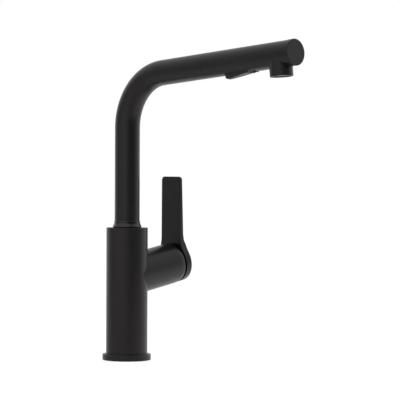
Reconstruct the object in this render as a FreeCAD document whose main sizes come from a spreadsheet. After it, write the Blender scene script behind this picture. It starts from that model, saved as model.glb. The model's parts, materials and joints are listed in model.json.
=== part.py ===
"""Single-lever kitchen mixer with a pull-out spray head, built piece by piece.

Row frame: +Z up, origin at the centre of the base on the worktop, the spout points to -Y
and the lever is on the +X side.  All sizes are millimetres and degrees.
Three working frames are used: the column (upright, at the origin), the branch (its local
Z runs out along the cartridge housing) and the spout (its local Z runs out along the
spout, its local Y is the upper side).
"""
import FreeCAD, Part
import math
import os
import re
import Sketcher

SIZES = {
    # column
    "body_radius": 24.4, "body_top": 156.3, "body_cavity": 19.5, "body_spigot": 21.1,
    "ring_radius": 28.6, "ring_height": 7.4, "gasket_lift": 0.4, "gasket_depth": 2.0,
    "gasket_inner": 23.0, "gasket_outer": 27.0, "edge_break": 0.6, "slack": 0.05,
    # inlet block in the foot of the body
    "block_bottom": 0.0, "block_top": 20.0, "port_ring": 13.4, "port_angle": 50.0,
    "port_thread": 4.55, "port_thread_depth": 12.0, "stud_thread": 2.5, "stud_angle": 90.0,
    "hose_passage": 7.6, "pipe_radius": 3.0, "pipe_bore": 2.2, "pipe_bend": 6.0,
    # swivel joint of the spout
    "swivel_bore": 15.8, "swivel_ledge": 119.6, "ledge_thickness": 6.0, "ledge_bore": 12.0,
    "foot_radius": 14.6, "foot_bore": 9.5, "foot_plug": 13.15, "foot_top": 171.6,
    "glide_height": 6.0, "glide_outer": 15.75, "seal_low": 129.6, "seal_high": 136.1,
    "seal_centre": 14.45, "seal_wire": 1.25, "stop_level": 142.6, "stop_slot": 4.4,
    "stop_floor": 12.9, "stop_pin": 2.0, "swivel_limit": 70.0,
    "collar_gap": 0.2, "collar_height": 8.0, "collar_foot": 17.2, "collar_neck": 15.5,
    # spout
    "tube_radius": 14.75, "tube_bore": 13.25, "spout_height": 332.6, "spout_rise": 5.0,
    "bend_radius": 64.0, "seam": 132.0, "hose_radius": 5.5, "hose_split": 70.0,
    "dock_start": 96.0, "dock_step": 106.0, "dock_bore": 10.5, "dock_guide": 6.7,
    # spray head
    "head_gap": 0.15, "head_end": 257.6, "cap_face": 265.0, "cap_radius": 15.0,
    "spigot_radius": 10.3, "spigot_start": 108.0, "spigot_bore": 8.2, "core_radius": 6.0,
    "valve_bore": 7.0, "water_bore": 4.0, "nozzle_at": 242.0, "nozzle_radius": 13.1,
    "nozzle_bore": 11.8, "nozzle_drop": 24.6, "aerator_radius": 9.4, "aerator_bore": 7.9,
    # rocker switch
    "rocker_at": 185.5, "rocker_pivot": 8.2, "rocker_half_width": 7.6, "rocker_back": 160.0,
    "rocker_front": 206.0, "rocker_keel": 11.8, "rocker_hub": 4.4, "pin_radius": 1.2,
    "pin_half": 7.4, "finger_reach": 5.2, "spool_radius": 3.9,
    # branch with the cartridge
    "branch_height": 99.2, "branch_tilt": 10.0, "branch_radius": 24.2, "branch_end": 76.3,
    "tilt_pivot": 69.8, "seat_at": 47.8, "cartridge_bore": 17.7, "nut_bore": 20.6,
    "nut_start": 64.8, "cartridge_radius": 17.4, "chamber_radius": 15.6, "disc_radius": 15.4,
    "moving_radius": 11.8, "turret_neck": 11.0, "stem_side": 6.6, "ball_arm": 9.0,
    "ball_radius": 2.8, "port_circle": 9.0, "cartridge_port": 3.0,
    # lever
    "hub_start": 78.8, "hub_end": 87.3, "hub_radius": 23.7, "hub_hollow": 24.6,
    "hub_web": 84.1, "boss_radius": 7.5, "boss_start": 77.8, "blade_top": 102.7,
    "blade_half": 15.6, "blade_root_half": 15.9, "blade_corner": 4.2, "flare_radius": 36.0,
    "flare_angle": 30.0, "blade_thin": 3.6, "blade_root": 5.8, "blade_edge": 0.7,
    "grub_at": 81.8, "grub_radius": 1.95,
}

doc = FreeCAD.newDocument("kitchen_mixer")
sheet = doc.addObject("Spreadsheet::Sheet", "sizes")
for row, (alias, number) in enumerate(SIZES.items(), start=1):
    sheet.set(f"A{row}", alias)
    sheet.set(f"B{row}", str(number))
    sheet.setAlias(f"B{row}", alias)
doc.recompute()

PIECES = []
V = FreeCAD.Vector


def bound(text):
    """An expression with every size name pointing at its cell in the sheet."""
    return re.sub(r"[a-z_]+", lambda word: "sizes." + word.group() if word.group() in SIZES
                  else word.group(), str(text))


def size(text):
    """The present value of an expression on the sheet."""
    return float(sheet.evalExpression(bound(text)))


def at(name, height, rotation_axis, angle):
    return {"name": name, "height": height, "axis": rotation_axis, "angle": angle}


COLUMN = at("column", "0", V(0, 0, 1), "0")
BRANCH = at("branch", "branch_height", V(0, 1, 0), "90 - branch_tilt")
SPOUT = at("spout", "spout_height", V(1, 0, 0), "90 - spout_rise")


def place(thing, frame, along="0"):
    """Puts an object into a working frame, bound to the sheet, shifted along its local Z."""
    thing.Placement = FreeCAD.Placement(V(0, 0, 0), FreeCAD.Rotation(frame["axis"], size(frame["angle"])))
    lean = bound(frame["angle"])
    if frame["name"] != "column":
        thing.setExpression("Placement.Rotation.Angle", lean)
    shift = bound(along)
    if frame["name"] == "branch":
        thing.setExpression("Placement.Base.x", f"({shift}) * sin(({lean}) * 1 deg)")
    if frame["name"] == "spout":
        thing.setExpression("Placement.Base.y", f"-({shift}) * sin(({lean}) * 1 deg)")
    rise = f"({shift}) * cos(({lean}) * 1 deg)" if frame["name"] != "column" else f"({shift})"
    thing.setExpression("Placement.Base.z", f"{bound(frame['height'])} + {rise}")


def new_body(label, frame=COLUMN, along="0"):
    body = doc.addObject("PartDesign::Body", label)
    body.Label = label
    place(body, frame, along)
    return body


def new_sketch(body, plane, name):
    sketch = body.newObject("Sketcher::SketchObject", name)
    support = [item for item in body.Origin.OriginFeatures if item.Role == plane][0]
    sketch.AttachmentSupport = (support, "")
    sketch.MapMode = "FlatFace"
    return sketch


def fix_point(sketch, geometry, end, horizontal, vertical):
    """Ties one point of a sketch to two expressions on the sheet."""
    for kind, text, axis in (("DistanceX", horizontal, -2), ("DistanceY", vertical, -1)):
        if size(text) == 0:
            sketch.addConstraint(Sketcher.Constraint("PointOnObject", geometry, end, axis))
            continue
        index = sketch.addConstraint(Sketcher.Constraint(kind, -1, 1, geometry, end, size(text)))
        sketch.setExpression(f"Constraints[{index}]", bound(text))


def polygon(sketch, points):
    """Closed outline of straight edges through points given as pairs of expressions."""
    corners = [V(size(x), size(y), 0) for x, y in points]
    count = len(corners)
    for i in range(count):
        sketch.addGeometry(Part.LineSegment(corners[i], corners[(i + 1) % count]), False)
    for i in range(count):
        sketch.addConstraint(Sketcher.Constraint("Coincident", i, 2, (i + 1) % count, 1))
    for i, (x, y) in enumerate(points):
        fix_point(sketch, i, 1, x, y)


def circle(sketch, radius, x="0", y="0"):
    index = sketch.addGeometry(Part.Circle(V(size(x), size(y), 0), V(0, 0, 1), size(radius)), False)
    if size(x) == 0 and size(y) == 0:
        sketch.addConstraint(Sketcher.Constraint("Coincident", index, 3, -1, 1))
    else:
        fix_point(sketch, index, 3, x, y)
    tie = sketch.addConstraint(Sketcher.Constraint("Radius", index, size(radius)))
    sketch.setExpression(f"Constraints[{tie}]", bound(radius))


def turned(label, frame, points, along="0"):
    """A turned piece: the (radius, height) outline revolved about the local Z axis."""
    body = new_body(label, frame, along)
    sketch = new_sketch(body, "XZ_Plane", label + "_outline")
    polygon(sketch, points)
    spin = body.newObject("PartDesign::Revolution", label + "_turn")
    spin.Profile = sketch
    spin.ReferenceAxis = (sketch, ["V_Axis"])
    spin.Angle = 360
    return body


def ring(inner, outer, low, high):
    """Outline of a plain ring."""
    return [(inner, low), (outer, low), (outer, high), (inner, high)]


def cylinder(name, frame, radius, low, high):
    """A plain cylinder about the local Z axis, as a tool for booleans."""
    solid = doc.addObject("Part::Cylinder", name)
    solid.setExpression("Radius", bound(radius))
    solid.setExpression("Height", bound(f"({high}) - ({low})"))
    place(solid, frame, low)
    return solid


def placed(solid, frame, x, y, z, axis=V(0, 0, 1), angle=0.0):
    """Puts a primitive at a local point of a frame, turned about a local axis."""
    base = FreeCAD.Placement(V(0, 0, size(frame["height"])),
                             FreeCAD.Rotation(frame["axis"], size(frame["angle"])))
    solid.Placement = base * FreeCAD.Placement(V(size(x), size(y), size(z)), FreeCAD.Rotation(axis, angle))
    return solid


def rod(name, frame, radius, length, x, y, z, axis=V(0, 0, 1), angle=0.0):
    """A cylinder that starts at a local point and runs along a turned local Z."""
    solid = doc.addObject("Part::Cylinder", name)
    solid.setExpression("Radius", bound(radius))
    solid.setExpression("Height", bound(length))
    return placed(solid, frame, x, y, z, axis, angle)


def block(name, frame, x, y, z):
    """A box between pairs of local coordinates."""
    solid = doc.addObject("Part::Box", name)
    for side, (low, high) in (("Length", x), ("Width", y), ("Height", z)):
        solid.setExpression(side, bound(f"({high}) - ({low})"))
    return placed(solid, frame, x[0], y[0], z[0])


def ball(name, frame, radius, z):
    solid = doc.addObject("Part::Sphere", name)
    solid.setExpression("Radius", bound(radius))
    return placed(solid, frame, "0", "0", z)


def fuse(name, *solids):
    joined = doc.addObject("Part::MultiFuse", name)
    joined.Shapes = list(solids)
    joined.Refine = True
    return joined


def cut(name, base, *tools):
    """Base minus the tools."""
    result = doc.addObject("Part::Cut", name)
    result.Base = base
    result.Tool = tools[0] if len(tools) == 1 else fuse(name + "_tools", *tools)
    result.Refine = True
    return result


def common(name, first, second):
    result = doc.addObject("Part::MultiCommon", name)
    result.Shapes = [first, second]
    result.Refine = True
    return result


def keep(thing, label=None):
    """Marks an object as a finished piece under the name of its file."""
    thing.Label = label or thing.Label
    PIECES.append(thing)


# ---------------------------------------------------------------- base of the column
keep(turned("base_ring", COLUMN, [
    ("body_spigot + slack", "gasket_lift"), ("gasket_inner - slack", "gasket_lift"),
    ("gasket_inner - slack", "gasket_lift + gasket_depth"),
    ("gasket_outer + slack", "gasket_lift + gasket_depth"),
    ("gasket_outer + slack", "gasket_lift"), ("ring_radius - edge_break / 2", "gasket_lift"),
    ("ring_radius", "gasket_lift + edge_break / 2"), ("ring_radius", "ring_height - edge_break"),
    ("ring_radius - edge_break", "ring_height"), ("body_spigot + slack", "ring_height")]))
keep(turned("base_gasket", COLUMN, ring("gasket_inner", "gasket_outer", "0",
                                        "gasket_lift + gasket_depth - slack")))


def polar(angle, ring_size="port_ring"):
    """Local x and y expressions of a point on a bolt circle."""
    return f"{ring_size} * cos(({angle}) * 1 deg)", f"{ring_size} * sin(({angle}) * 1 deg)"


PORTS = {"hot": "port_angle", "cold": "0 - port_angle", "mixed": "0"}


def inlet_block():
    """Brass block in the foot: two supplies, one outlet, two studs and the hose passage."""
    disc = turned("inlet_disc", COLUMN, ring("hose_passage", "body_cavity - slack", "block_bottom",
                                             "block_top"))
    tools = []
    for name, angle in PORTS.items():
        x, y = polar(angle)
        tools.append(rod(f"{name}_thread_core", COLUMN, "port_thread", "port_thread_depth", x, y,
                         "block_bottom"))
        tools.append(rod(f"{name}_socket", COLUMN, "pipe_radius + slack", "block_top", x, y,
                         "block_bottom"))
    for side in ("stud_angle", "0 - stud_angle"):
        x, y = polar(side)
        tools.append(rod("stud_thread_core", COLUMN, "stud_thread", "block_top", x, y, "block_bottom"))
    keep(cut("inlet_block", disc, *tools), "inlet_block")


inlet_block()


def water_pipe(name, angle, port_rise):
    """Bent copper pipe from the inlet block to a port behind the cartridge."""
    x, y = polar(angle)
    body = new_body(name)
    body.setExpression("Placement.Base.x", bound(x))
    body.setExpression("Placement.Base.y", bound(y))
    start = "block_bottom + port_thread_depth + 1"
    body.setExpression("Placement.Base.z", bound(start))
    path = new_sketch(body, "XZ_Plane", name + "_route")
    rise = size(f"branch_height + {port_rise} - ({start})")
    bend = size("pipe_bend")
    reach = size(f"body_cavity * 0.975 - ({x})") + 1.0
    path.addGeometry(Part.LineSegment(V(0, 0, 0), V(0, rise - bend, 0)), False)
    path.addGeometry(Part.ArcOfCircle(Part.Circle(V(bend, rise - bend, 0), V(0, 0, 1), bend),
                                      math.pi / 2, math.pi), False)
    path.addGeometry(Part.LineSegment(V(bend, rise, 0), V(reach, rise, 0)), False)
    path.addConstraint(Sketcher.Constraint("Coincident", 0, 1, -1, 1))
    path.addConstraint(Sketcher.Constraint("Vertical", 0))
    path.addConstraint(Sketcher.Constraint("Horizontal", 2))
    path.addConstraint(Sketcher.Constraint("Tangent", 0, 2, 1, 2))
    path.addConstraint(Sketcher.Constraint("Tangent", 1, 1, 2, 1))
    tie = path.addConstraint(Sketcher.Constraint("Radius", 1, bend))
    path.setExpression(f"Constraints[{tie}]", bound("pipe_bend"))
    fix_point(path, 2, 2, f"body_cavity * 0.975 - ({x}) + 1",
              f"branch_height + {port_rise} - ({start})")
    for part, radius, kind in (("wall", "pipe_radius", "AdditivePipe"), ("bore", "pipe_bore", "SubtractivePipe")):
        profile = new_sketch(body, "XY_Plane", f"{name}_{part}")
        circle(profile, radius)
        sweep = body.newObject("PartDesign::" + kind, f"{name}_{part}_sweep")
        sweep.Profile = profile
        sweep.Spine = (path, ["Edge1", "Edge2", "Edge3"])
        doc.recompute()
    keep(body)


PORT_RISE = {"hot": "5", "cold": "5", "mixed": "0 - 4"}
for supply, turn in PORTS.items():
    water_pipe(f"{supply}_water_pipe", turn, PORT_RISE[supply])

keep(turned("hose_guide", COLUMN, [
    ("hose_radius + 0.5", "block_top - 12"), ("hose_passage - slack", "block_top - 12"),
    ("hose_passage - slack", "block_top + slack"), ("hose_passage + 1.4", "block_top + slack"),
    ("hose_passage + 1.4", "block_top + 1.5"), ("hose_radius + 0.5", "block_top + 1.5")]))


# ---------------------------------------------------------------- body with its side branch
def body_shell():
    column = turned("column_solid", COLUMN, [
        ("0", "block_bottom + 0.5"), ("body_spigot", "block_bottom + 0.5"), ("body_spigot", "ring_height"),
        ("body_radius", "ring_height"), ("body_radius", "body_top - edge_break / 2"),
        ("body_radius - edge_break / 2", "body_top"), ("0", "body_top")])
    straight = cylinder("branch_straight", BRANCH, "branch_radius", "0", "tilt_pivot")
    crown = ball("branch_crown", BRANCH, "branch_radius", "tilt_pivot")
    length = cylinder("branch_length", BRANCH, "branch_radius + 1", "0", "branch_end")
    branch = common("branch_solid", fuse("branch_round", straight, crown), length)
    hollow = turned("column_hollow", COLUMN, [
        ("0", "block_bottom - 2"), ("body_cavity", "block_bottom - 2"),
        ("body_cavity", "swivel_ledge - ledge_thickness - 5"),
        ("ledge_bore", "swivel_ledge - ledge_thickness"), ("ledge_bore", "swivel_ledge"),
        ("swivel_bore", "swivel_ledge"), ("swivel_bore", "body_top + 1"), ("0", "body_top + 1")])
    bore = turned("cartridge_bore", BRANCH, [
        ("0", "seat_at"), ("cartridge_bore", "seat_at"), ("cartridge_bore", "nut_start"),
        ("nut_bore", "nut_start"), ("nut_bore", "branch_end + 2"), ("0", "branch_end + 2")])
    ports = []
    for name, angle in PORTS.items():
        y = polar(angle)[1]
        level = f"branch_height + {PORT_RISE[name]}"
        ports.append(rod(f"{name}_body_port", COLUMN, "pipe_radius + slack", "18", "body_cavity * 0.6", y,
                         level, V(0, 1, 0), 90))
        ports.append(branch_port(name))
    screw = rod("stop_screw_hole", COLUMN, "stop_pin + slack", "body_radius", "0", "foot_radius",
                "stop_level", V(1, 0, 0), -90)
    keep(cut("body_shell", fuse("body_casting", column, branch), hollow, bore, screw, *ports), "body_shell")


PORT_TURN = {"hot": "105", "cold": "255", "mixed": "0"}


def branch_port(name):
    """Drilling along the branch from the cartridge seat to the pipe behind it."""
    x, y = polar(PORT_TURN[name], "port_circle")
    return rod(f"{name}_branch_port", BRANCH, "cartridge_port", "seat_at - body_cavity - 8", x, y,
               "body_cavity + 8.5")


body_shell()
keep(rod("swivel_stop_screw", COLUMN, "stop_pin", "body_radius - stop_floor - 0.8", "0",
         "stop_floor + 0.3", "stop_level", V(1, 0, 0), -90))


# ---------------------------------------------------------------- cartridge in the branch
def port_tools(name, radius, low, high):
    tools = []
    for port, angle in PORT_TURN.items():
        x, y = polar(angle, "port_circle")
        tools.append(rod(f"{name}_{port}", BRANCH, radius, f"({high}) - ({low})", x, y, low))
    return tools


base_disc = turned("cartridge_base_disc", BRANCH, [
    ("0", "seat_at + 0.1"), ("cartridge_radius", "seat_at + 0.1"), ("cartridge_radius", "seat_at + 3.1"),
    ("0", "seat_at + 3.1")])
keep(cut("cartridge_base", base_disc,
         *port_tools("base_port", "cartridge_port", "seat_at", "seat_at + 4"),
         *port_tools("seal_pocket", "cartridge_port + 1.3", "seat_at", "seat_at + 1.5")))
seals = [cut("port_seal", outer, inner) for outer, inner in zip(
    port_tools("seal_outside", "cartridge_port + 1.25", "seat_at", "seat_at + 1.45"),
    port_tools("seal_inside", "cartridge_port + 0.1", "seat_at", "seat_at + 2"))]
keep(fuse("cartridge_seals", *seals))
fixed = turned("fixed_disc_blank", BRANCH, [
    ("0", "seat_at + 3.15"), ("disc_radius", "seat_at + 3.15"), ("disc_radius", "seat_at + 6.15"),
    ("0", "seat_at + 6.15")])
keep(cut("fixed_ceramic_disc", fixed, *port_tools("disc_port", "cartridge_port - 0.2", "seat_at + 2",
                                                  "seat_at + 8")))
keep(turned("moving_ceramic_disc", BRANCH, [
    ("6", "seat_at + 6.2"), ("moving_radius", "seat_at + 6.2"), ("moving_radius", "seat_at + 9.2"),
    ("0", "seat_at + 9.2"), ("0", "seat_at + 7.8"), ("6", "seat_at + 7.8")]))
keep(turned("disc_carrier", BRANCH, [
    ("0", "seat_at + 9.25"), ("moving_radius", "seat_at + 9.25"), ("moving_radius", "tilt_pivot - 7"),
    ("ball_radius + 0.2", "tilt_pivot - 7"), ("ball_radius + 0.2", "tilt_pivot - ball_arm - 3.1"),
    ("0", "tilt_pivot - ball_arm - 3.1")]))
turret = turned("turret_blank", BRANCH, [
    ("0", "tilt_pivot - 6.6"), ("disc_radius - 0.2", "tilt_pivot - 6.6"),
    ("disc_radius - 0.2", "tilt_pivot - 3.6"), ("turret_neck", "tilt_pivot - 3.6"),
    ("turret_neck", "tilt_pivot + 4"), ("0", "tilt_pivot + 4")])
keep(cut("cartridge_turret", turret,
         block("stem_slot", BRANCH, ("0 - 8", "8"), ("0 - stem_side / 2 - 0.4", "stem_side / 2 + 0.4"),
               ("tilt_pivot - 8", "tilt_pivot + 5")),
         rod("turret_pin_hole", BRANCH, "1.5", "30", "0", "15", "tilt_pivot", V(1, 0, 0), 90)))
keep(rod("turret_pin", BRANCH, "1.5", "20", "0", "10", "tilt_pivot", V(1, 0, 0), 90))
keep(turned("cartridge_housing", BRANCH, [
    ("chamber_radius", "seat_at + 3.15"), ("cartridge_radius", "seat_at + 3.15"),
    ("cartridge_radius", "tilt_pivot - 1"), ("turret_neck + 0.3", "tilt_pivot - 1"),
    ("turret_neck + 0.3", "tilt_pivot - 3.4"), ("chamber_radius", "tilt_pivot - 3.4")]))
nut_blank = turned("nut_blank", BRANCH, ring("turret_neck + 1", "nut_bore - slack", "tilt_pivot - 0.9",
                                             "tilt_pivot + 3"))
keep(cut("retaining_nut", nut_blank,
         block("nut_key_across", BRANCH, ("0 - 22", "22"), ("0 - 2", "2"), ("tilt_pivot + 1.4", "tilt_pivot + 4")),
         block("nut_key_along", BRANCH, ("0 - 2", "2"), ("0 - 22", "22"), ("tilt_pivot + 1.4", "tilt_pivot + 4"))))
keep(turned("dome_cover", BRANCH, [
    ("nut_bore - 2", "tilt_pivot + 3.1"), ("nut_bore - slack", "tilt_pivot + 3.1"),
    ("nut_bore - slack", "tilt_pivot + 5.2"), ("12.3", "tilt_pivot + 8.2"), ("12.3", "tilt_pivot + 6.6"),
    ("nut_bore - 2", "tilt_pivot + 4.3")]))


# ---------------------------------------------------------------- lever
stem_bar = block("stem_bar", BRANCH, ("0 - stem_side / 2", "stem_side / 2"),
                 ("0 - stem_side / 2", "stem_side / 2"), ("tilt_pivot - 6", "hub_web - 1"))
stem_neck = cylinder("stem_neck", BRANCH, "2.2", "tilt_pivot - ball_arm", "tilt_pivot - 5")
stem_ball = ball("stem_ball", BRANCH, "ball_radius", "tilt_pivot - ball_arm")
keep(cut("cartridge_stem", fuse("stem_solid", stem_bar, stem_neck, stem_ball),
         rod("stem_pin_hole", BRANCH, "1.55", "30", "0", "15", "tilt_pivot", V(1, 0, 0), 90)))

HUB_X = size("(hub_start + hub_end) / 2 * cos(branch_tilt * 1 deg)")
HUB_Z = size("branch_height + (hub_start + hub_end) / 2 * sin(branch_tilt * 1 deg)")


def blade_outline():
    """Front view of the blade: rounded top corners, nearly parallel sides, flare onto the hub."""
    body = doc.addObject("PartDesign::Body", "blade_front")
    body.Placement.Base = V(HUB_X, 0, HUB_Z)
    sketch = new_sketch(body, "YZ_Plane", "blade_front_outline")
    angle = math.radians(size("flare_angle"))
    hub = size("hub_radius")
    root = size("blade_root_half")
    half, top, corner = size("blade_half"), size("blade_top"), size("blade_corner")
    flare = size("flare_radius")
    meet = V(hub * math.cos(angle), hub * math.sin(angle), 0)
    flare_centre = V(root + flare, meet.y + flare * math.sin(angle), 0)
    edges = []
    for side in (1, -1):
        def mirror(point):
            return V(side * point.x, point.y, 0)
        middle = V(flare_centre.x - flare * math.cos(angle / 2), flare_centre.y - flare * math.sin(angle / 2), 0)
        edges.append(Part.Arc(mirror(meet), mirror(middle), mirror(V(root, flare_centre.y, 0))))
        edges.append(Part.LineSegment(mirror(V(root, flare_centre.y, 0)), mirror(V(half, top - corner, 0))))
        turn = corner * math.sqrt(0.5)
        edges.append(Part.Arc(mirror(V(half, top - corner, 0)),
                              mirror(V(half - corner + turn, top - corner + turn, 0)),
                              mirror(V(half - corner, top, 0))))
    edges.append(Part.LineSegment(V(half - corner, top, 0), V(corner - half, top, 0)))
    edges.append(Part.LineSegment(V(-meet.x, meet.y, 0), V(meet.x, meet.y, 0)))
    for edge in edges:
        sketch.addGeometry(edge, False)
    pad = body.newObject("PartDesign::Pad", "blade_front_pad")
    pad.Profile = sketch
    pad.Length = 40
    pad.SideType = "Symmetric"
    return body


def blade_side():
    """Side view of the blade: upright inner face, outer face stepping off the hub."""
    body = doc.addObject("PartDesign::Body", "blade_side")
    body.Placement.Base = V(HUB_X, 0, HUB_Z)
    sketch = new_sketch(body, "XZ_Plane", "blade_side_outline")
    half = "(hub_end - hub_start) / 2"
    lean_in = "sin(branch_tilt * 1 deg)"
    lean_up = "cos(branch_tilt * 1 deg)"
    inner = f"0 - {half} * {lean_up} - hub_radius * {lean_in}"
    knee = f"hub_radius * {lean_up} - {half} * {lean_in}"
    low = "hub_radius * sin(flare_angle * 1 deg)"
    polygon(sketch, [
        (f"({inner}) + (({knee}) - ({low})) * {lean_in}", low), (f"{half} * {lean_up} - 2", low),
        (f"({inner}) + blade_root + 2.6", "hub_radius - 1.5"),
        (f"({inner}) + blade_root + 0.8", "hub_radius + 2"), (f"({inner}) + blade_root", "hub_radius + 6.5"),
        (f"({inner}) + blade_thin", "blade_top"), (inner, "blade_top"), (inner, knee)])
    pad = body.newObject("PartDesign::Pad", "blade_side_pad")
    pad.Profile = sketch
    pad.Length = 60
    pad.SideType = "Symmetric"
    return body


def rounded(name, solid, radius, wanted):
    """The solid with rounded edges where the test on an edge is true."""
    doc.recompute()
    result = doc.addObject("Part::Fillet", name)
    result.Base = solid
    result.Edges = [(i, size(radius), size(radius)) for i, edge in enumerate(solid.Shape.Edges, start=1)
                    if wanted(edge)]
    return result


def blade_rim(edge):
    """True for the edges that run round the two broad faces of the blade."""
    box = edge.BoundBox
    return box.ZMax > HUB_Z + size("blade_top - blade_corner") - 0.01 and box.XLength < 2


def lever_handle():
    hub = turned("hub_blank", BRANCH, [
        ("0", "hub_start"), ("hub_radius", "hub_start"), ("hub_radius", "hub_end - edge_break"),
        ("hub_radius - edge_break", "hub_end"), ("0", "hub_end")])
    blade = rounded("blade_soft", common("blade_blank", blade_outline(), blade_side()), "blade_edge", blade_rim)
    hollow = common("hub_hollow_solid", ball("hub_hollow_ball", BRANCH, "hub_hollow", "tilt_pivot"),
                    cylinder("hub_hollow_depth", BRANCH, "hub_radius + 8", "tilt_pivot - 5", "hub_web"))
    boss = cylinder("lever_boss", BRANCH, "boss_radius", "boss_start", "hub_web + 1")
    shell = cut("lever_shell", fuse("lever_blank", hub, blade), hollow)
    grip = fuse("lever_solid", shell, boss)
    keep(cut("lever_handle", grip,
             block("stem_socket", BRANCH, ("0 - stem_side / 2 - slack", "stem_side / 2 + slack"),
                   ("0 - stem_side / 2 - slack", "stem_side / 2 + slack"),
                   ("boss_start - 1", "hub_web - 0.9")),
             rod("grub_thread", BRANCH, "grub_radius + slack", "hub_radius", "stem_side / 2", "0", "grub_at",
                 V(0, 1, 0), 90)))
    keep(rod("lever_grub_screw", BRANCH, "grub_radius", "4.4", "stem_side / 2 + slack", "0", "grub_at",
             V(0, 1, 0), 90))
    keep(rod("indicator_plug", BRANCH, "grub_radius", "1.2", "hub_radius - 1.35", "0", "grub_at",
             V(0, 1, 0), 90))


lever_handle()

# ---------------------------------------------------------------- swivelling spout
foot = turned("foot_blank", COLUMN, [
    ("foot_bore", "swivel_ledge + 0.1"), ("foot_radius - 1.2", "swivel_ledge + 0.1"),
    ("foot_radius - 1.2", "swivel_ledge + glide_height + 0.2"),
    ("foot_radius", "swivel_ledge + glide_height + 0.2"),
    ("foot_radius", "seal_low - 1.4"), ("seal_centre - seal_wire - 0.05", "seal_low - 1.4"),
    ("seal_centre - seal_wire - 0.05", "seal_low + 1.4"), ("foot_radius", "seal_low + 1.4"),
    ("foot_radius", "seal_high - 1.4"), ("seal_centre - seal_wire - 0.05", "seal_high - 1.4"),
    ("seal_centre - seal_wire - 0.05", "seal_high + 1.4"), ("foot_radius", "seal_high + 1.4"),
    ("foot_radius", "body_top - glide_height - 1.2"), ("foot_radius - 1.2", "body_top - glide_height - 1.2"),
    ("foot_radius - 1.2", "body_top - 1"), ("foot_radius", "body_top - 1"),
    ("foot_radius", "body_top + collar_gap"), ("foot_plug", "body_top + collar_gap"),
    ("foot_plug", "foot_top"), ("foot_bore", "foot_top")])


def stop_groove():
    """Part-turn groove behind the foot: the stop screw runs in it."""
    body = new_body("stop_groove")
    sketch = new_sketch(body, "XZ_Plane", "stop_groove_outline")
    polygon(sketch, ring("stop_floor", "foot_radius + 1", "stop_level - stop_slot / 2",
                         "stop_level + stop_slot / 2"))
    spin = body.newObject("PartDesign::Revolution", "stop_groove_turn")
    spin.Profile = sketch
    spin.ReferenceAxis = (sketch, ["V_Axis"])
    half = "swivel_limit + asin(stop_pin / (stop_floor + 0.3)) / 1 deg + 0.6"
    spin.setExpression("Angle", bound(f"2 * ({half})"))
    body.Placement = FreeCAD.Placement(V(0, 0, 0), FreeCAD.Rotation(V(0, 0, 1), 90 - size(half)))
    return body


keep(cut("spout_foot", foot, stop_groove()))
keep(turned("lower_glide_ring", COLUMN, ring("foot_radius - 1.15", "glide_outer", "swivel_ledge + 0.1",
                                             "swivel_ledge + glide_height + 0.1")))
keep(turned("upper_glide_ring", COLUMN, ring("foot_radius - 1.15", "glide_outer",
                                             "body_top - glide_height - 1.1", "body_top - 1.1")))


def swivel_seals():
    rings = []
    for level in ("seal_low", "seal_high"):
        seal = doc.addObject("Part::Torus", "seal_ring")
        seal.setExpression("Radius1", bound("seal_centre"))
        seal.setExpression("Radius2", bound("seal_wire"))
        rings.append(placed(seal, COLUMN, "0", "0", level))
    keep(fuse("swivel_seals", *rings))


swivel_seals()
keep(turned("spout_collar", COLUMN, [
    ("tube_radius + slack", "body_top + collar_gap"), ("collar_foot - 0.7", "body_top + collar_gap"),
    ("collar_foot", "body_top + collar_gap + 0.8"), ("collar_foot - 0.2", "body_top + collar_gap + 1.5"),
    ("collar_foot - 0.8", "body_top + collar_gap + 2.8"), ("collar_neck", "body_top + collar_gap + 4.5"),
    ("collar_neck", "body_top + collar_height - 2.1"), ("collar_neck - 0.4", "body_top + collar_height - 1.8"),
    ("collar_neck - 0.4", "body_top + collar_height - 1.3"), ("collar_neck", "body_top + collar_height - 1"),
    ("collar_neck", "body_top + collar_height - 0.3"), ("collar_neck - 0.3", "body_top + collar_height"),
    ("tube_radius + slack", "body_top + collar_height")]))


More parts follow.
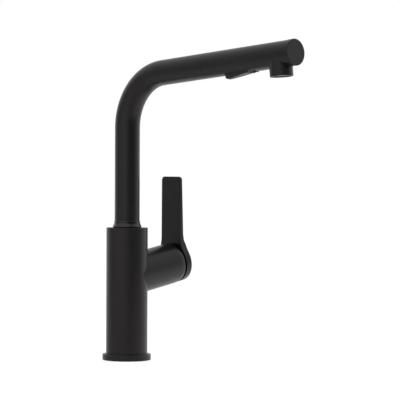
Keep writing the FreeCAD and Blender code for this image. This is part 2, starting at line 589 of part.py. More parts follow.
def swept(name, start, reach, outer, inner=None):
    """A tube up the column axis, round the bend and out along the spout."""
    body = new_body(name)
    body.setExpression("Placement.Base.z", bound(start))
    path = new_sketch(body, "YZ_Plane", name + "_route")
    rise = math.radians(size("spout_rise"))
    turn = math.pi / 2 - rise
    bend = size("bend_radius")
    corner = size(f"spout_height - ({start})")
    tangent = bend * math.tan(turn / 2)
    far = size(reach)
    direction = V(-math.cos(rise), math.sin(rise), 0)
    path.addGeometry(Part.LineSegment(V(0, 0, 0), V(0, corner - tangent, 0)), False)
    path.addGeometry(Part.ArcOfCircle(Part.Circle(V(-bend, corner - tangent, 0), V(0, 0, 1), bend), 0, turn), False)
    path.addGeometry(Part.LineSegment(V(0, corner, 0) + direction * tangent, V(0, corner, 0) + direction * far),
                     False)
    path.addConstraint(Sketcher.Constraint("Coincident", 0, 1, -1, 1))
    path.addConstraint(Sketcher.Constraint("Vertical", 0))
    path.addConstraint(Sketcher.Constraint("Tangent", 0, 2, 1, 1))
    path.addConstraint(Sketcher.Constraint("Tangent", 1, 2, 2, 1))
    tie = path.addConstraint(Sketcher.Constraint("Radius", 1, bend))
    path.setExpression(f"Constraints[{tie}]", bound("bend_radius"))
    tie = path.addConstraint(Sketcher.Constraint("DistanceY", -1, 1, 0, 2, corner - tangent))
    path.setExpression(f"Constraints[{tie}]", bound(
        f"spout_height - ({start}) - bend_radius * tan((90 - spout_rise) / 2 * 1 deg)"))
    fix_point(path, 2, 2, f"0 - ({reach}) * cos(spout_rise * 1 deg)",
              f"spout_height - ({start}) + ({reach}) * sin(spout_rise * 1 deg)")
    sweeps = [("wall", outer, "AdditivePipe")] + ([("bore", inner, "SubtractivePipe")] if inner else [])
    for part, radius, kind in sweeps:
        profile = new_sketch(body, "XY_Plane", f"{name}_{part}")
        circle(profile, radius)
        sweep = body.newObject("PartDesign::" + kind, f"{name}_{part}_sweep")
        sweep.Profile = profile
        sweep.Spine = (path, ["Edge1", "Edge2", "Edge3"])
        doc.recompute()
    keep(body)


swept("spout_tube", "body_top + collar_gap", "seam", "tube_radius", "tube_bore")
swept("spray_hose_rear", "block_bottom + 8", "hose_split", "hose_radius", "hose_radius - 1.5")
keep(turned("hose_plug", COLUMN, [
    ("2", "block_bottom"), ("hose_radius - 0.6", "block_bottom"), ("hose_radius - 0.6", "block_bottom + 6"),
    ("hose_radius + 0.4", "block_bottom + 6"), ("hose_radius + 0.4", "block_bottom + 7.9"),
    ("2", "block_bottom + 7.9")]))
keep(turned("dock_bush", SPOUT, [
    ("dock_guide", "dock_start"), ("tube_bore - slack", "dock_start"), ("tube_bore - slack", "seam - 0.2"),
    ("dock_bore", "seam - 0.2"), ("dock_bore", "dock_step"), ("dock_guide", "dock_step")]))

# ---------------------------------------------------------------- hose end
keep(turned("spray_hose_front", SPOUT, ring("hose_radius - 1.5", "hose_radius", "hose_split",
                                            "spigot_start + 3")))
keep(turned("hose_ferrule", SPOUT, [
    ("hose_radius + slack", "dock_start + 2"), ("hose_radius + 0.9", "dock_start + 2"),
    ("hose_radius + 0.9", "spigot_start + 4.5"), ("3", "spigot_start + 4.5"), ("3", "spigot_start + 3.1"),
    ("hose_radius + slack", "spigot_start + 3.1")]))

# ---------------------------------------------------------------- spray head
keep(turned("hose_connector", SPOUT, [
    ("hose_radius + 1", "spigot_start + 0.5"), ("spigot_bore - slack", "spigot_start + 0.5"),
    ("spigot_bore - slack", "spigot_start + 13.9"), ("3.5", "spigot_start + 13.9"),
    ("3.5", "spigot_start + 4.6"), ("hose_radius + 1", "spigot_start + 4.6")]))
keep(turned("hose_washer", SPOUT, ring("4.5", "spigot_bore - slack", "spigot_start + 14",
                                       "spigot_start + 15.9")))
keep(turned("check_valve", SPOUT, [
    ("3", "spigot_start + 16.1"), ("valve_bore - slack", "spigot_start + 16.1"),
    ("valve_bore - slack", "spigot_start + 24"), ("5", "spigot_start + 26.4"), ("3", "spigot_start + 26.4")]))


def down_rod(name, radius, top, bottom):
    """A cylinder on the nozzle axis, between two drops below the spout axis."""
    return rod(name, SPOUT, radius, f"({bottom}) - ({top})", "0", f"0 - ({top})", "nozzle_at", V(1, 0, 0), 90)


def rounded_slot(name, half_width, back, front):
    """A block below the spout axis with half-round ends in plan."""
    ends = [rod(name + "_end", SPOUT, half_width, "17", "0", "0 - 5", along, V(1, 0, 0), 90)
            for along in (f"({back}) + {half_width}", f"({front}) - ({half_width})")]
    middle = block(name + "_middle", SPOUT, (f"0 - ({half_width})", half_width), ("0 - 22", "0 - 5"),
                   (f"({back}) + {half_width}", f"({front}) - ({half_width})"))
    return fuse(name, *ends, middle)


def head_waterway():
    """Moulded core of the head: docking spigot, water channel and nozzle socket."""
    core = turned("core_turned", SPOUT, [
        ("0", "spigot_start"), ("spigot_radius", "spigot_start"), ("spigot_radius", "spigot_start + 5.2"),
        ("9", "spigot_start + 5.2"), ("9", "spigot_start + 6.8"), ("spigot_radius", "spigot_start + 6.8"),
        ("spigot_radius", "seam + head_gap"), ("tube_bore - 0.3", "seam + head_gap"),
        ("tube_bore - 0.3", "seam + 14"), ("core_radius + 2.5", "seam + 18"), ("core_radius + 2.5", "seam + 24"),
        ("core_radius", "seam + 28"), ("core_radius", "nozzle_at"), ("0", "nozzle_at")])
    socket = common("nozzle_socket", down_rod("socket_rod", "nozzle_bore - 0.1", "0 - 9", "17"),
                    fuse("socket_limit", cylinder("socket_round", SPOUT, "tube_bore - 0.4", "nozzle_at - 14",
                                                  "nozzle_at + 14"),
                         down_rod("socket_low", "nozzle_bore", "3", "20")))
    bores = [
        cylinder("spigot_thread", SPOUT, "spigot_bore", "spigot_start - 1", "spigot_start + 16"),
        cylinder("valve_chamber", SPOUT, "valve_bore", "spigot_start + 15", "spigot_start + 26.5"),
        cylinder("water_channel", SPOUT, "water_bore", "spigot_start + 25", "nozzle_at"),
        down_rod("nozzle_chamber", "aerator_radius + 0.1", "0 - 3", "18"),
        block("finger_window", SPOUT, ("0 - 2.2", "2.2"), ("0 - core_radius - 1", "0"),
              ("rocker_at - 3.2", "rocker_at + 3.2")),
        rod("lug_pin_hole", SPOUT, "pin_radius + slack", "30", "0 - 15", "0 - rocker_pivot", "rocker_at",
            V(0, 1, 0), 90)]
    lugs = [block("pivot_lug", SPOUT, side, ("0 - rocker_pivot - 2.1", "0 - 2"),
                  ("rocker_at - 2.6", "rocker_at + 2.6"))
            for side in (("rocker_hub + 0.35", "pin_half"), ("0 - pin_half", "0 - rocker_hub - 0.35"))]
    keep(cut("head_waterway", fuse("core_solid", core, socket, *lugs), *bores))


head_waterway()


def spigot_seal():
    seal = doc.addObject("Part::Torus", "spigot_seal")
    seal.setExpression("Radius1", "9.72")
    seal.setExpression("Radius2", "0.7")
    keep(placed(seal, SPOUT, "0", "0", "spigot_start + 6"))


spigot_seal()


def head_shell():
    """Black outer sleeve of the head with the switch window and the nozzle opening."""
    tube = turned("head_tube", SPOUT, [
        ("tube_bore - 0.2", "seam + head_gap"), ("tube_radius - 0.15", "seam + head_gap"),
        ("tube_radius", "seam + head_gap + 0.15"), ("tube_radius", "head_end"), ("tube_bore - 0.2", "head_end")])
    window = rounded_slot("switch_window", "rocker_half_width + 0.15", "rocker_back - 1.05",
                          "rocker_front + 0.35")
    opening = down_rod("nozzle_opening", "nozzle_radius + 0.1", "0", "tube_radius + 2")
    keep(cut("head_shell", tube, window, opening))


head_shell()
keep(turned("head_end_cap", SPOUT, [
    ("0", "cap_face"), ("cap_radius - edge_break", "cap_face"), ("cap_radius", "cap_face - edge_break"),
    ("cap_radius", "head_end + 0.4"), ("cap_radius - 0.3", "head_end + 0.1"),
    ("tube_bore - 0.3", "head_end + 0.1"), ("tube_bore - 0.3", "head_end - 1.9"),
    ("tube_bore - 2.5", "head_end - 1.9"), ("tube_bore - 2.5", "cap_face - 3"), ("0", "cap_face - 3")]))
keep(cut("nozzle_sleeve", down_rod("sleeve_outside", "nozzle_radius", "core_radius + 0.1", "nozzle_drop"),
         down_rod("sleeve_inside", "nozzle_bore", "core_radius", "nozzle_drop + 1")))
keep(cut("aerator_housing", down_rod("aerator_outside", "aerator_radius", "8", "nozzle_drop - 0.6"),
         down_rod("aerator_inside", "aerator_bore", "7", "nozzle_drop")))


def aerator_mesh():
    """Honeycomb flow straightener: a thin disc with rings of holes."""
    disc = down_rod("mesh_disc", "aerator_bore - slack", "nozzle_drop - 2.4", "nozzle_drop - 1.2")
    holes = [down_rod("mesh_middle", "0.7", "nozzle_drop - 3", "nozzle_drop")]
    for count, radius in ((6, 2.1), (12, 4.2), (18, 6.2)):
        for i in range(count):
            angle = 2 * math.pi * i / count
            holes.append(rod("mesh_hole", SPOUT, "0.7", "3", str(radius * math.cos(angle)),
                             "3 - nozzle_drop", f"nozzle_at + {radius * math.sin(angle)}", V(1, 0, 0), 90))
    keep(cut("aerator_mesh", disc, *holes))


aerator_mesh()


def spray_ring():
    """Rubber ring with the needle jets around the aerator."""
    blank = cut("spray_blank", down_rod("spray_outside", "nozzle_bore - slack", "17.1", "nozzle_drop - 0.4"),
                down_rod("spray_inside", "aerator_radius + slack", "16", "nozzle_drop"))
    jets = []
    for i in range(20):
        angle = 2 * math.pi * i / 20
        radius = size("(nozzle_bore + aerator_radius) / 2")
        jets.append(rod("spray_jet", SPOUT, "0.45", "12", str(radius * math.cos(angle)), "0 - 16",
                        f"nozzle_at + {radius * math.sin(angle)}", V(1, 0, 0), 90))
    keep(cut("spray_ring", blank, *jets))


spray_ring()
keep(rod("rocker_pin", SPOUT, "pin_radius", "pin_half * 2", "0 - pin_half", "0 - rocker_pivot", "rocker_at",
         V(0, 1, 0), 90))


def side_pad(name, half_width, points):
    """A side outline (drop below the axis, distance along the spout) widened both ways."""
    body = new_body(name, SPOUT)
    sketch = new_sketch(body, "YZ_Plane", name + "_side")
    polygon(sketch, points)
    pad = body.newObject("PartDesign::Pad", name + "_width")
    pad.Profile = sketch
    pad.setExpression("Length", bound(f"({half_width}) * 2"))
    pad.SideType = "Symmetric"
    return body


def rocker_button():
    """Two-way switch under the head: keel-shaped heel at the back, finger groove at the front."""
    wedge = side_pad("rocker_wedge", "rocker_half_width", [
        ("0 - 11.2", "rocker_back"), ("0 - 14", "rocker_back + 0.2"), ("0 - 17.2", "rocker_back + 1.4"),
        ("0 - 18.8", "rocker_back + 2.6"), ("0 - 19.4", "rocker_back + 4.4"),
        ("0 - 15.5", "rocker_front - 13"), ("0 - 15.6", "rocker_front - 0.7"), ("0 - 15", "rocker_front"),
        ("0 - 11.2", "rocker_front")])
    plan = rounded_slot("rocker_plan", "rocker_half_width", "rocker_back", "rocker_front")
    keel = rod("rocker_keel_round", SPOUT, "rocker_half_width", "60", "0", "0 - rocker_keel",
               "rocker_back - 5")
    deck = block("rocker_deck", SPOUT, ("0 - rocker_half_width", "rocker_half_width"),
                 ("0 - rocker_keel", "0 - 5"), ("rocker_back - 5", "rocker_front + 5"))
    shape = common("rocker_form", common("rocker_outline", wedge, plan), fuse("rocker_section", keel, deck))
    hub = side_pad("rocker_hub_block", "rocker_hub", [
        ("0 - 11.6", "rocker_at - 7"), ("0 - 11.6", "rocker_at + 7"), ("0 - 6.8", "rocker_at + 2.4"),
        ("0 - 6.8", "rocker_at - 2.4")])
    finger = block("rocker_finger", SPOUT, ("0 - 1.6", "1.6"), ("0 - 8", "finger_reach - rocker_pivot + 0.6"),
                   ("rocker_at - 1.2", "rocker_at + 1.2"))
    groove = rod("finger_groove", SPOUT, "4.5", "30", "0 - 15", "0 - 17.6", "rocker_front - 4.9",
                 V(0, 1, 0), 90)
    keep(cut("rocker_button", fuse("rocker_solid", shape, hub, finger), groove,
             rod("rocker_pin_bore", SPOUT, "pin_radius + slack", "30", "0 - 15", "0 - rocker_pivot", "rocker_at",
                 V(0, 1, 0), 90)))


rocker_button()
keep(turned("diverter_spool", SPOUT, [
    ("0", "rocker_at - 13"), ("spool_radius", "rocker_at - 13"), ("spool_radius", "rocker_at - 9"),
    ("2.6", "rocker_at - 8"), ("2.6", "rocker_at - 5"), ("spool_radius", "rocker_at - 4"),
    ("spool_radius", "rocker_at - 1.5"), ("1.8", "rocker_at - 1.5"), ("1.8", "rocker_at + 1.5"),
    ("spool_radius", "rocker_at + 1.5"), ("spool_radius", "rocker_at + 4"), ("2.6", "rocker_at + 5"),
    ("2.6", "rocker_at + 8"), ("spool_radius", "rocker_at + 9"), ("spool_radius", "rocker_at + 13"),
    ("0", "rocker_at + 13")]))

# ---------------------------------------------------------------- checks and files
doc.recompute()
for thing in doc.Objects:
    if any(word in thing.State for word in ("Invalid", "Error")):
        raise RuntimeError(f"{thing.Label}: {thing.State}")
os.makedirs("parts", exist_ok=True)
for piece in PIECES:
    shape = piece.Shape
    if shape.isNull() or not shape.isValid() or not shape.Solids:
        raise RuntimeError(f"{piece.Label} has no valid solid")
    shape.exportStep(f"parts/{piece.Label}.step")
    print(f"{piece.Label:24s} solids {len(shape.Solids)}  volume {shape.Volume:9.1f}")
print(len(PIECES), "pieces")
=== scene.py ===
"""Looks of the single-lever kitchen mixer: satin black coat, inner parts, hose, light and camera."""

import json
import math

import bpy
from mathutils import Matrix, Vector

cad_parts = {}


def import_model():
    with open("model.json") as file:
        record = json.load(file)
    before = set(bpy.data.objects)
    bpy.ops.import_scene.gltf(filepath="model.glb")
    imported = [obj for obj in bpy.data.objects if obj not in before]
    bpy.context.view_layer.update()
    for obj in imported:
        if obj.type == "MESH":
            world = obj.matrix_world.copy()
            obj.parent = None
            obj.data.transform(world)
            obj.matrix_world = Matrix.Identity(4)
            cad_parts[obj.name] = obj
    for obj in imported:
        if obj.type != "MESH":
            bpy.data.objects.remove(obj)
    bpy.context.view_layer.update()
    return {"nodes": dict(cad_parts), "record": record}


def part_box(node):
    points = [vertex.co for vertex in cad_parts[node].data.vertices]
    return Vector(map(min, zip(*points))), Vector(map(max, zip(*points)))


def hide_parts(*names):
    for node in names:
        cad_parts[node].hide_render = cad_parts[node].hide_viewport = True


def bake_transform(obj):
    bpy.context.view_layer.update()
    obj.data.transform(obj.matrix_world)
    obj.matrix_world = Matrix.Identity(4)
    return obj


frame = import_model()
record = frame["record"]
joints = {joint["name"]: joint for joint in record["behaviour"]["joints"]}


# ---------------------------------------------------------------- node helpers
def new_material(name):
    material = bpy.data.materials.new(name)
    material.use_nodes = True
    tree = material.node_tree
    return material, tree, tree.nodes["Principled BSDF"]


def node(tree, kind, **inputs):
    made = tree.nodes.new(kind)
    for key, number in inputs.items():
        made.inputs[key.replace("_", " ")].default_value = number
    return made


def math_node(tree, operation, *terms):
    """One sum on numbers or sockets."""
    made = tree.nodes.new("ShaderNodeMath")
    made.operation = operation
    for socket, term in zip(made.inputs, terms):
        if isinstance(term, (int, float)):
            socket.default_value = term
        else:
            tree.links.new(term, socket)
    return made.outputs[0]


def noise(tree, scale, detail=3.0, rough=0.5):
    """Noise in object space: scale is in waves per metre."""
    where = tree.nodes.new("ShaderNodeTexCoord")
    made = node(tree, "ShaderNodeTexNoise", Scale=scale, Detail=detail, Roughness=rough)
    tree.links.new(where.outputs["Object"], made.inputs["Vector"])
    return made.outputs["Fac"]


def grey(value):
    return (value, value, value)


def ramp(tree, source, stops):
    """Colours for a 0..1 source, from (position, colour) stops in rising order."""
    made = tree.nodes.new("ShaderNodeValToRGB")
    elements = made.color_ramp.elements
    for position, colour in stops[1:-1]:
        elements.new(position).color = (*colour, 1.0)
    for element, (position, colour) in ((elements[0], stops[0]), (elements[-1], stops[-1])):
        element.position = position
        element.color = (*colour, 1.0)
    tree.links.new(source, made.inputs["Fac"])
    return made.outputs["Color"]


def two_tone(tree, source, dark, light):
    """Blends two colours over the middle of a noise."""
    return ramp(tree, source, ((0.3, dark), (0.7, light)))


def roughness_band(tree, shader, source, low, high):
    made = tree.nodes.new("ShaderNodeMapRange")
    made.inputs["To Min"].default_value = low
    made.inputs["To Max"].default_value = high
    tree.links.new(source, made.inputs["Value"])
    tree.links.new(made.outputs["Result"], shader.inputs["Roughness"])


def bump(tree, shader, sources, relief):
    """Chained bumps: sources is a list of (height output, strength), relief is in metres."""
    last = None
    for height, strength in sources:
        made = node(tree, "ShaderNodeBump", Strength=strength, Distance=relief)
        tree.links.new(height, made.inputs["Height"])
        if last is not None:
            tree.links.new(last, made.inputs["Normal"])
        last = made.outputs["Normal"]
    tree.links.new(last, shader.inputs["Normal"])


# ---------------------------------------------------------------- finishes
# Noise scales in waves per metre and relief depths in metres.
CLOUD_WAVES, SPECK_WAVES, PEEL_WAVES = 45.0, 5200.0, 1500.0
FLOW_WAVES = 70.0
STAIN_WAVES = 120.0
COAT_RELIEF = 0.00006
GRAIN_RELIEF = 0.00005
TOOL_RELIEF = 0.00003
# The coat throws light back a touch warmer than it receives it.
COAT_TINT = (1.0, 0.93, 0.965, 1.0)
# Tool lines are this much longer along the cut than across it.
LINE_STRETCH = 0.02


def coated(name, dark, light, rough, peel=0.09, specular=0.37):
    """Powder coat: orange peel, fine speckle and a slight cloud in tone and gloss."""
    material, tree, shader = new_material(name)
    cloud = noise(tree, CLOUD_WAVES, 4.0, 0.6)
    speck = noise(tree, SPECK_WAVES, 2.0, 0.7)
    peel_height = noise(tree, PEEL_WAVES, 2.0, 0.5)
    mixed = tree.nodes.new("ShaderNodeMix")
    mixed.data_type = "RGBA"
    mixed.blend_type = "MULTIPLY"
    mixed.inputs["Factor"].default_value = 1.0
    tree.links.new(two_tone(tree, cloud, dark, light), mixed.inputs["A"])
    tree.links.new(ramp(tree, speck, ((0.35, grey(0.80)), (0.68, grey(1.25)))), mixed.inputs["B"])
    tree.links.new(mixed.outputs["Result"], shader.inputs["Base Color"])
    roughness_band(tree, shader, cloud, rough - 0.05, rough + 0.06)
    bump(tree, shader, [(peel_height, peel), (speck, peel * 0.35)], COAT_RELIEF)
    shader.inputs["Specular IOR Level"].default_value = specular
    shader.inputs["Specular Tint"].default_value = COAT_TINT
    return material


def moulded(name, dark, light, rough, grain=1800.0, depth=0.2, specular=0.5):
    """Moulded plastic, ceramic or rubber: fine grain and faint flow marks."""
    material, tree, shader = new_material(name)
    flow = noise(tree, FLOW_WAVES, 3.0, 0.6)
    fine = noise(tree, grain, 3.0, 0.6)
    tree.links.new(two_tone(tree, flow, dark, light), shader.inputs["Base Color"])
    roughness_band(tree, shader, flow, rough - 0.06, rough + 0.08)
    bump(tree, shader, [(fine, depth)], GRAIN_RELIEF)
    shader.inputs["Specular IOR Level"].default_value = specular
    return material


def machined(name, dark, light, rough, lines=9000.0):
    """Turned or drawn metal: tool lines that follow each other along Z, with stains in the tone."""
    material, tree, shader = new_material(name)
    where = tree.nodes.new("ShaderNodeTexCoord")
    stretch = tree.nodes.new("ShaderNodeMapping")
    stretch.inputs["Scale"].default_value = (lines * LINE_STRETCH, lines * LINE_STRETCH, lines)
    tree.links.new(where.outputs["Object"], stretch.inputs["Vector"])
    cuts = node(tree, "ShaderNodeTexNoise", Scale=1.0, Detail=2.0, Roughness=0.6)
    tree.links.new(stretch.outputs["Vector"], cuts.inputs["Vector"])
    stain = noise(tree, STAIN_WAVES, 4.0, 0.65)
    tree.links.new(two_tone(tree, stain, dark, light), shader.inputs["Base Color"])
    shader.inputs["Metallic"].default_value = 1.0
    roughness_band(tree, shader, cuts.outputs["Fac"], rough - 0.08, rough + 0.12)
    bump(tree, shader, [(cuts.outputs["Fac"], 0.15)], TOOL_RELIEF)
    return material


FINISHES = {
    "satin_black": coated("satin_black_coat", (0.0045, 0.0040, 0.0042), (0.0065, 0.0060, 0.0062), 0.34),
    "dome_black": coated("gloss_black_coat", grey(0.004), grey(0.006), 0.15, peel=0.03, specular=0.60),
    "black_plastic": moulded("black_plastic_grain", grey(0.006), grey(0.009), 0.42, specular=0.28),
    "white_plastic": moulded("white_acetal", (0.72, 0.71, 0.68), (0.80, 0.79, 0.76), 0.42),
    "ceramic": moulded("lapped_ceramic", (0.80, 0.78, 0.73), (0.86, 0.85, 0.81), 0.16, 4000.0, 0.05),
    "rubber": moulded("moulded_rubber", grey(0.012), grey(0.022), 0.68, 2400.0, 0.35),
    "spray_rubber": moulded("grey_silicone", grey(0.030), grey(0.045), 0.70, 2000.0, 0.3),
    "mesh": moulded("pale_grid", grey(0.34), grey(0.44), 0.45, 3000.0, 0.2),
    "brass": machined("turned_brass", (0.62, 0.43, 0.18), (0.78, 0.58, 0.28), 0.30),
    "copper": machined("drawn_copper", (0.62, 0.27, 0.16), (0.80, 0.42, 0.27), 0.28),
    "steel": machined("turned_steel", grey(0.42), grey(0.60), 0.30),
    "hose": moulded("hose_cover", grey(0.02), grey(0.03), 0.6),
}

for entry in record["subparts"]:
    part = frame["nodes"][entry["node"]]
    part.data.materials.clear()
    part.data.materials.append(FINISHES[entry["material_slot"]])


# ---------------------------------------------------------------- flexible hose
HOSE_RADIUS = 0.0055
HOSE_BORE = 0.0040
HOSE_SIDES = 32
BEND_RADIUS = 0.064
BRAID_TURN = 0.016
BRAID_STRANDS = 12
BRAID_LAY = 1.6
BRAID_RELIEF = 0.0003
COLUMN_STEPS, BEND_STEPS, SPOUT_STEPS = 40, 24, 320

# The spout axis meets the column axis at HEAD_AXIS_START.  Between the two stations, in metres
# from there, lies the hose that the head draws out.
HEAD_AXIS = Vector(joints["hose_pull"]["axis"]).normalized()
SPIN_POINT = Vector(joints["head_spin"]["pos_m"])
HEAD_AXIS_START = SPIN_POINT - HEAD_AXIS * (SPIN_POINT.y / HEAD_AXIS.y)
PULL = joints["hose_pull"]["range_m"][1]
STRETCH_START = 0.060
STRETCH_END = 0.094


def axis_point(along):
    """A point on the spout axis, at a distance in metres from the column axis."""
    return HEAD_AXIS_START + HEAD_AXIS * along


def hose_route():
    """Centre line: up the column, round the bend and along the spout to the ferrule.

    Each entry is a point, a direction and the length of hose laid so far.  The part that is
    drawn out through the docking bush is packed into the stretch between the two stations.
    """
    lean = math.acos(HEAD_AXIS.z)
    tangent = BEND_RADIUS * math.tan(lean / 2)
    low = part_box("spray_hose_rear")[0][2]
    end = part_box("spray_hose_front")[0][1] / HEAD_AXIS.y
    bend_foot = HEAD_AXIS_START.z - tangent
    column = bend_foot - low
    route = []
    for i in range(COLUMN_STEPS):
        climb = column * i / COLUMN_STEPS
        route.append((Vector((0.0, 0.0, low + climb)), Vector((0.0, 0.0, 1.0)), climb))
    centre = Vector((0.0, -BEND_RADIUS, bend_foot))
    for i in range(BEND_STEPS):
        turn = lean * i / BEND_STEPS
        place = centre + Vector((0.0, math.cos(turn), math.sin(turn))) * BEND_RADIUS
        heading = Vector((0.0, -math.sin(turn), math.cos(turn)))
        route.append((place, heading, column + BEND_RADIUS * turn))
    laid = column + BEND_RADIUS * lean
    for i in range(SPOUT_STEPS + 1):
        along = tangent + (end - tangent) * i / SPOUT_STEPS
        share = min(max((along - STRETCH_START) / (STRETCH_END - STRETCH_START), 0.0), 1.0)
        packed = PULL * share * share * (3 - 2 * share)
        route.append((axis_point(along), HEAD_AXIS, laid + along - tangent + packed))
    return route


def tube_mesh(name, route, outer, inner, around):
    """A hose wall with its bore: u runs once round, v is the length laid in metres."""
    rings = [(outer, entry) for entry in route] + [(inner, entry) for entry in reversed(route)]
    side = Vector((1.0, 0.0, 0.0))
    points, faces, uvs = [], [], []
    for ring, (radius, (place, heading, laid)) in enumerate(rings):
        other = heading.cross(side).normalized()
        after = (ring + 1) % len(rings)
        laid_after = rings[after][1][2]
        for k in range(around):
            turn = 2 * math.pi * k / around
            beside = (k + 1) % around
            points.append(place + (side * math.cos(turn) + other * math.sin(turn)) * radius)
            faces.append((ring * around + k, ring * around + beside, after * around + beside,
                          after * around + k))
            uvs.extend([(k / around, laid), ((k + 1) / around, laid),
                        ((k + 1) / around, laid_after), (k / around, laid_after)])
    mesh = bpy.data.meshes.new(name)
    mesh.from_pydata([tuple(point) for point in points], [], faces)
    layer = mesh.uv_layers.new(name="laid")
    for loop, uv in zip(layer.data, uvs):
        loop.uv = uv
    mesh.polygons.foreach_set("use_smooth", [True] * len(mesh.polygons))
    mesh.update()
    made = bpy.data.objects.new(name, mesh)
    bpy.context.scene.collection.objects.link(made)
    return made


def strands(tree, round_hose, along_hose, count):
    """0..1 wave over the hose: strands that climb one way round, or the other if count is negative."""
    across = math_node(tree, "MULTIPLY", round_hose, count * 2 * math.pi)
    climb = math_node(tree, "MULTIPLY", along_hose, 2 * math.pi * BRAID_STRANDS / (BRAID_TURN * BRAID_LAY))
    phase = math_node(tree, "ADD", across, climb)
    return math_node(tree, "MULTIPLY_ADD", math_node(tree, "SINE", phase), 0.5, 0.5)


def braided():
    """Woven nylon sleeve: two families of strands crossing, with fine fibre noise; the gaps between the
    strands are painted darker as shade.
    """
    material, tree, shader = new_material("braided_nylon")
    where = tree.nodes.new("ShaderNodeUVMap")
    where.uv_map = "laid"
    split = tree.nodes.new("ShaderNodeSeparateXYZ")
    tree.links.new(where.outputs["UV"], split.inputs["Vector"])
    right = strands(tree, split.outputs["X"], split.outputs["Y"], BRAID_STRANDS)
    left = strands(tree, split.outputs["X"], split.outputs["Y"], -BRAID_STRANDS)
    weave = math_node(tree, "MAXIMUM", right, left)
    fibre = noise(tree, 5000.0, 3.0, 0.7)
    height = math_node(tree, "MULTIPLY_ADD", fibre, 0.25, weave)
    # Painted shade: the colour follows the weave height, so the gaps between strands are painted dark and
    # the crests lighter; the fibre noise adds a random tone on top.
    tone = ramp(tree, height, ((0.45, grey(0.010)), (1.0, grey(0.060))))
    tree.links.new(tone, shader.inputs["Base Color"])
    roughness_band(tree, shader, fibre, 0.45, 0.65)
    bump(tree, shader, [(height, 0.6)], BRAID_RELIEF)
    shader.inputs["Sheen Weight"].default_value = 0.15
    return material


def spray_hose():
    """One hose from the base to the ferrule; the head draws it out of the spout."""
    hose = tube_mesh("spray_hose", hose_route(), HOSE_RADIUS, HOSE_BORE, HOSE_SIDES)
    hose.data.materials.append(braided())
    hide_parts("spray_hose_rear", "spray_hose_front")
    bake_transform(hose)


# ---------------------------------------------------------------- camera
# A long lens from the front left, a little below the spout: angles in radians, lengths in metres.
CAMERA_AZIMUTH = math.radians(-44.4345)
CAMERA_DISTANCE = 2.7161
CAMERA_HEIGHT = 0.2380
CAMERA_YAW = math.radians(1.8127)
CAMERA_PITCH = math.radians(-1.03)
CAMERA_ROLL = math.radians(0.2397)
FOCAL_WIDTHS = 5.75
SENSOR = 36.0


def toward_bearing(bearing):
    """Level direction at a bearing: 0 looks out along -Y, 90 degrees along +X."""
    return Vector((math.sin(bearing), -math.cos(bearing), 0.0))


def rotated(first, second, angle):
    """Two axes at right angles, turned in their plane so that the first leans to the second."""
    return (first * math.cos(angle) + second * math.sin(angle),
            second * math.cos(angle) - first * math.sin(angle))


def camera():
    ahead = -toward_bearing(CAMERA_AZIMUTH)
    right = Vector((math.cos(CAMERA_AZIMUTH), math.sin(CAMERA_AZIMUTH), 0.0))
    up = Vector((0.0, 0.0, 1.0))
    ahead, right = rotated(ahead, right, CAMERA_YAW)
    ahead, up = rotated(ahead, up, CAMERA_PITCH)
    right, up = rotated(right, up, CAMERA_ROLL)
    data = bpy.data.cameras.new("camera")
    data.sensor_width = SENSOR
    data.lens = SENSOR * FOCAL_WIDTHS
    made = bpy.data.objects.new("camera", data)
    bpy.context.scene.collection.objects.link(made)
    place = toward_bearing(CAMERA_AZIMUTH) * CAMERA_DISTANCE + Vector((0.0, 0.0, CAMERA_HEIGHT))
    made.matrix_world = Matrix.Translation(place) @ Matrix((right, up, -ahead)).transposed().to_4x4()
    bpy.context.scene.camera = made


# ---------------------------------------------------------------- floor and light
FLOOR_RADIUS = 0.75
FLOOR_DROP = 0.0003
# The floor seen directly is evenly white.  What it throws back onto the piece is brighter on one
# side: the side's bearing from the camera, the metres either way, and the two strengths.
FLOOR_GLOW = 0.80
FLOOR_SPILL_BEARING = math.radians(125.0)
FLOOR_SPILL_REACH = 0.10
FLOOR_SPILL_DARK, FLOOR_SPILL_BRIGHT = 0.36, 0.80

# Brightness of the studio walls by bearing, in degrees from the camera's side, from the left
# wall of the picture to the right wall.
WALLS = ((-180, 1.0), (-135, 0.95), (-112, 0.58), (-92, 0.34), (-76, 0.68), (-20, 0.94), (-2, 0.60),
         (16, 0.18), (62, 0.17), (80, 0.42), (98, 1.0), (180, 1.05))
CEILING = 0.84
# The walls fade into the ceiling between these two heights on the unit sphere.
WALL_TOP, CEILING_EDGE = 0.05, 0.90


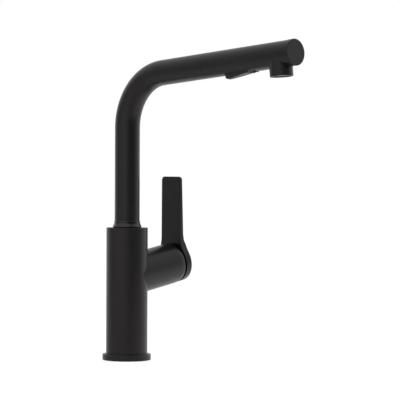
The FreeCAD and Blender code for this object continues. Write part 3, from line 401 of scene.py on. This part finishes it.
def floor():
    bpy.ops.mesh.primitive_circle_add(vertices=128, radius=FLOOR_RADIUS, fill_type="NGON")
    plane = bpy.context.object
    plane.name = "studio_floor"
    plane.location.z = -FLOOR_DROP
    material, tree, shader = new_material("pale_floor")
    tree.links.new(two_tone(tree, noise(tree, 3.0), grey(0.33), grey(0.37)), shader.inputs["Base Color"])
    shader.inputs["Roughness"].default_value = 0.9
    shader.inputs["Specular IOR Level"].default_value = 0.0
    where = tree.nodes.new("ShaderNodeTexCoord")
    across = tree.nodes.new("ShaderNodeVectorMath")
    across.operation = "DOT_PRODUCT"
    across.inputs[1].default_value = toward_bearing(CAMERA_AZIMUTH + FLOOR_SPILL_BEARING)
    tree.links.new(where.outputs["Object"], across.inputs[0])
    spill = tree.nodes.new("ShaderNodeMapRange")
    spill.interpolation_type = "SMOOTHSTEP"
    spill.inputs["From Min"].default_value = -FLOOR_SPILL_REACH
    spill.inputs["From Max"].default_value = FLOOR_SPILL_REACH
    spill.inputs["To Min"].default_value = FLOOR_SPILL_DARK
    spill.inputs["To Max"].default_value = FLOOR_SPILL_BRIGHT
    tree.links.new(across.outputs["Value"], spill.inputs["Value"])
    ray = tree.nodes.new("ShaderNodeLightPath")
    glow = tree.nodes.new("ShaderNodeMix")
    glow.inputs["B"].default_value = FLOOR_GLOW
    tree.links.new(ray.outputs["Is Camera Ray"], glow.inputs["Factor"])
    tree.links.new(spill.outputs["Result"], glow.inputs["A"])
    shader.inputs["Emission Color"].default_value = (1.0, 1.0, 1.0, 1.0)
    tree.links.new(glow.outputs["Result"], shader.inputs["Emission Strength"])
    plane.data.materials.append(material)


def colour_mix(tree, share, first, second):
    """Mixes a socket's colour with a plain colour by a 0..1 socket."""
    made = tree.nodes.new("ShaderNodeMix")
    made.data_type = "RGBA"
    made.inputs["B"].default_value = (*second, 1.0)
    tree.links.new(share, made.inputs["Factor"])
    tree.links.new(first, made.inputs["A"])
    return made.outputs["Result"]


def world():
    """Studio with white side and back walls, a darker wall behind the camera and a pale ceiling.

    What the camera sees directly is plain white.
    """
    made = bpy.data.worlds.new("studio")
    bpy.context.scene.world = made
    made.use_nodes = True
    tree = made.node_tree
    where = tree.nodes.new("ShaderNodeTexCoord")
    turn = tree.nodes.new("ShaderNodeVectorRotate")
    turn.rotation_type = "Z_AXIS"
    turn.inputs["Angle"].default_value = -CAMERA_AZIMUTH
    tree.links.new(where.outputs["Generated"], turn.inputs["Vector"])
    split = tree.nodes.new("ShaderNodeSeparateXYZ")
    tree.links.new(turn.outputs["Vector"], split.inputs["Vector"])
    toward = math_node(tree, "MULTIPLY", split.outputs["Y"], -1.0)
    bearing = math_node(tree, "ARCTAN2", split.outputs["X"], toward)
    share = math_node(tree, "MULTIPLY_ADD", bearing, 1 / (2 * math.pi), 0.5)
    walls = ramp(tree, share, [((angle + 180) / 360, grey(level)) for angle, level in WALLS])
    height = tree.nodes.new("ShaderNodeMapRange")
    height.inputs["From Min"].default_value = WALL_TOP
    height.inputs["From Max"].default_value = CEILING_EDGE
    tree.links.new(split.outputs["Z"], height.inputs["Value"])
    room = colour_mix(tree, height.outputs["Result"], walls, grey(CEILING))
    ray = tree.nodes.new("ShaderNodeLightPath")
    seen = colour_mix(tree, ray.outputs["Is Camera Ray"], room, grey(1.0))
    tree.links.new(seen, tree.nodes["Background"].inputs["Color"])
    tree.nodes["Background"].inputs["Strength"].default_value = 1.0


spray_hose()
floor()
world()
camera()
bpy.context.scene.view_settings.view_transform = "Standard"
